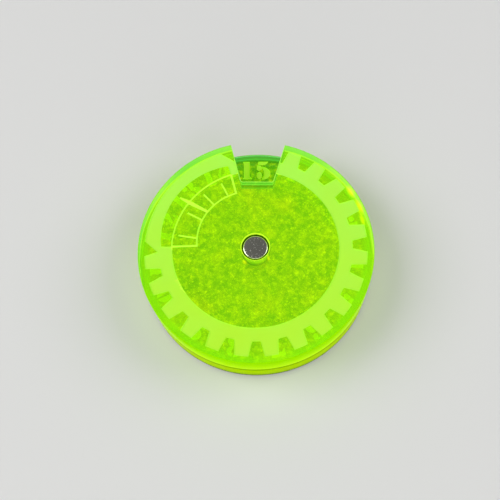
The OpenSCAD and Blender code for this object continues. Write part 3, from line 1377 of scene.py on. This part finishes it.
NOTCH_CUT = CutEdge(
    "notch_cut", foot_z=UPPER_Z, outside=UPPER_RIM,
    # Painted highlights and shade: light and dark bands across the notch's wall seen through the face.
    inside=EdgeLook(
        colours=((0.04, 0.28, 0.05), (0.0, 0.16, 0.0), (0.0, 0.16, 0.0), (0.10, 0.48, 0.35),
                 (0.01, 0.30, 0.10), (0.01, 0.30, 0.10), (0.10, 0.44, 0.35)),
        glows=((0.04, 0.25, 0.05), (0.0, 0.10, 0.0), (0.0, 0.10, 0.0), (0.06, 0.38, 0.34), (0.0, 0.22, 0.10),
               (0.0, 0.22, 0.10), (0.06, 0.36, 0.38)),
        clearness=0.05, strength=1.5, shine=0.02, places=(0.02, 0.10, 0.38, 0.48, 0.58, 0.76, 0.88),
    ),
)
UPPER_BORE = CutEdge(
    "upper_bore", foot_z=UPPER_Z,
    # Painted shade: seen from outside, the bore is dark down inside and bright at its top edge.
    outside=EdgeLook(
        colours=((0.04, 0.12, 0.0), (0.08, 0.24, 0.0), (0.52, 0.86, 0.02)),
        glows=((0.0, 0.02, 0.0), (0.02, 0.06, 0.0), (0.20, 0.36, 0.01)),
        shine=0.05, places=(0.8, 0.9, 0.95),
    ),
    # Painted light and shade: bands seen through the face, brighter in the middle and darker at both ends.
    inside=EdgeLook(
        colours=((0.08, 0.30, 0.0), (0.14, 0.40, 0.0), (0.28, 0.56, 0.02), (0.30, 0.60, 0.10),
                 (0.14, 0.34, 0.06), (0.04, 0.12, 0.02)),
        glows=((0.01, 0.08, 0.0), (0.03, 0.14, 0.0), (0.10, 0.26, 0.02), (0.12, 0.30, 0.08),
               (0.06, 0.16, 0.04), (0.01, 0.04, 0.02)),
        clearness=0.05, shine=0.1, places=(0.05, 0.18, 0.5, 0.75, 0.9, 0.98),
    ),
)
# Painted shade: dark at the foot, where a contact shadow falls, and darker at the top by the joint between
# the discs.
LOWER_RIM = EdgeLook(
    colours=((0.07, 0.11, 0.0), (0.30, 0.48, 0.01), (0.37, 0.59, 0.0), (0.36, 0.58, 0.0), (0.22, 0.42, 0.0)),
    glows=((0.02, 0.03, 0.0), (0.07, 0.14, 0.0), (0.10, 0.17, 0.0), (0.09, 0.17, 0.0), (0.05, 0.12, 0.0)),
    shine=0.0003, places=(0.05, 0.18, 0.5, 0.82, 0.92), warmth=(0.02, 0.01, 0.0),
)
LOWER_CUT = CutEdge(
    "lower_cut", foot_z=0.0, outside=LOWER_RIM,
    # Painted reflection: seen through the window, the far wall glows teal, and blue near its top.
    inside=EdgeLook(
        colours=((0.0, 0.18, 0.01), (0.0, 0.20, 0.04), (0.02, 0.28, 0.20), (0.0, 0.20, 0.15),
                 (0.0, 0.20, 0.16), (0.06, 0.34, 0.60)),
        glows=((0.0, 0.09, 0.01), (0.0, 0.11, 0.04), (0.02, 0.26, 0.26), (0.0, 0.13, 0.14), (0.0, 0.13, 0.16),
               (0.08, 0.32, 0.95)),
        clearness=0.02, strength=2.0, shine=0.05, places=(0.06, 0.18, 0.31, 0.44, 0.66, 0.84),
    ),
)
LOWER_BORE = CutEdge(
    "lower_bore", foot_z=0.0, outside=LOWER_RIM,
    inside=EdgeLook(
        colours=((0.10, 0.30, 0.01), (0.15, 0.40, 0.01), (0.30, 0.60, 0.01)),
        glows=((0.02, 0.05, 0.0), (0.05, 0.12, 0.0), (0.1, 0.2, 0.0)), shine=0.1,
    ),
)
FROSTED = FrostedCut(
    "frosted", shade=(0.46, 0.85, 0.025), colour=(0.40, 0.90, 0.08),
    glow_shade=(0.07, 0.14, 0.003), glow=(0.06, 0.15, 0.01),
)
# Painted light: a brighter glow than FROSTED lifts the shade in the narrow grooves of the gauge and on the
# engraving's walls.
GAUGE_LINES = FrostedCut(
    "gauge_lines", shade=(0.50, 0.90, 0.05), colour=(0.56, 0.95, 0.06),
    glow_shade=(0.13, 0.22, 0.01), glow=(0.16, 0.24, 0.01),
)
FROSTED_NUMBERS = FrostedCut(
    "frosted_numbers", shade=(0.42, 0.80, 0.03), colour=(0.49, 0.88, 0.075),
    glow_shade=(0.11, 0.21, 0.0), glow=(0.13, 0.22, 0.0),
)
PLATING = Nickel("nickel_plating", colour=(0.84, 0.84, 0.72), worn=(0.97, 0.96, 0.88))
UPPER_FINISHES = (UPPER_CLEAR, UPPER_CUT, UPPER_BORE, NOTCH_CUT, FROSTED, GAUGE_LINES)
LOWER_FINISHES = (LOWER_CLEAR, LOWER_CUT, LOWER_BORE, LOWER_CUT, FROSTED_NUMBERS, FROSTED_NUMBERS)


def main() -> None:
    """Builds the studio and the dial, in order."""
    logging.basicConfig(level=logging.INFO, format="%(name)s: %(message)s")
    Studio().build()
    pieces = [
        Sheet("number_disc_sheet", "base", "number_sheet", 0.0, LOWER_FINISHES, StencilNumbers()),
        Sheet(
            "window_disc_sheet", "dial", "window_sheet", UPPER_Z, UPPER_FINISHES, GaugeEngraving(), Notch()
        ),
        Magnet("lower_magnet_plated", "base", SHEET_T - MAGNET_H, PLATING),
        Magnet("upper_magnet_plated", "dial", UPPER_Z, PLATING),
    ]
    for piece in pieces:
        piece.build()


if __name__ == "__main__":
    main()
